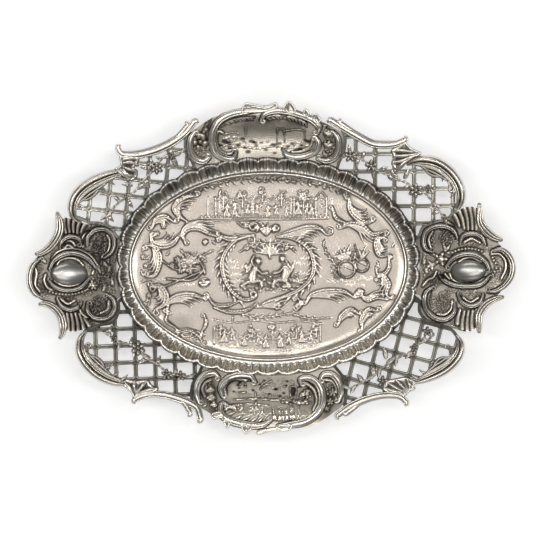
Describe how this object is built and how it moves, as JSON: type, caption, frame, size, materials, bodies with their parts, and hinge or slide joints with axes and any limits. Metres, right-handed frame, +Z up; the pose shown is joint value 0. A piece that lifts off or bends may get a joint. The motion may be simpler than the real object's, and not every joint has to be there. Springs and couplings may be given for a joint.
{
  "type": "oval silver tray",
  "caption": "Oval silver tray with a chased well, a fluted and scalloped wall, and a broad pierced border of trellis, cartouches, shells, vines and scrolls.",
  "frame": {"origin": "middle of the tray's outline, on the surface that it stands on", "axes": "+X along the length towards the end on the picture's right, +Y towards the picture's upper edge, +Z up out of the dish"},
  "size_m": [0.3296, 0.2248, 0.0312],
  "materials": {
    "well_silver": "worn silver, chased and softly polished, dark in the recesses",
    "bright_silver": "polished silver",
    "wall_silver": "polished silver, dark in the flutes",
    "trellis_silver": "silver with a grey patina",
    "plate_silver": "silver with a brown-grey patina, punched with a matt ground",
    "boss_silver": "polished silver",
    "scroll_silver": "worn silver, bright on the ridges",
    "leaf_silver": "silver with a grey patina, chased"
  },
  "bodies": {
    "root": {"well_plate": "well_silver", "well_thread": "bright_silver", "fluted_wall": "wall_silver", "trellis_back_left": "trellis_silver", "trellis_back_right": "trellis_silver", "trellis_front_left": "trellis_silver", "trellis_front_right": "trellis_silver", "plate_back": "plate_silver", "plate_front": "plate_silver", "plate_left": "plate_silver", "plate_right": "plate_silver", "boss_left": "boss_silver", "boss_right": "boss_silver", "rim_scroll_back_left": "scroll_silver", "rim_scroll_back_right": "scroll_silver", "rim_scroll_front_left": "scroll_silver", "rim_scroll_front_right": "scroll_silver", "corner_scroll_back_left": "scroll_silver", "corner_scroll_back_right": "scroll_silver", "corner_scroll_front_left": "scroll_silver", "corner_scroll_front_right": "scroll_silver", "end_wing_left_back": "scroll_silver", "end_wing_left_front": "scroll_silver", "end_wing_right_back": "scroll_silver", "end_wing_right_front": "scroll_silver", "end_lobe_left": "scroll_silver", "end_lobe_right": "scroll_silver", "boss_frame_left_back": "scroll_silver", "boss_frame_left_front": "scroll_silver", "boss_frame_right_back": "scroll_silver", "boss_frame_right_front": "scroll_silver", "end_curl_left_back": "scroll_silver", "end_curl_left_front": "scroll_silver", "end_curl_right_back": "scroll_silver", "end_curl_right_front": "scroll_silver", "end_loop_left_back": "scroll_silver", "end_loop_left_front": "scroll_silver", "end_loop_right_back": "scroll_silver", "end_loop_right_front": "scroll_silver", "back_frame_left": "scroll_silver", "back_frame_right": "scroll_silver", "back_frame_foot": "scroll_silver", "front_frame_top": "scroll_silver", "front_frame_left": "scroll_silver", "front_frame_right": "scroll_silver", "side_loop_back_left": "scroll_silver", "side_loop_back_right": "scroll_silver", "side_loop_front_left": "scroll_silver", "side_loop_front_right": "scroll_silver", "shell_back_left": "leaf_silver", "shell_back_right": "leaf_silver", "shell_front_left": "leaf_silver", "shell_front_right": "leaf_silver", "vine_back_left": "leaf_silver", "vine_back_right": "leaf_silver", "vine_front_left": "leaf_silver", "vine_front_right": "leaf_silver"}
  },
  "joints": []
}
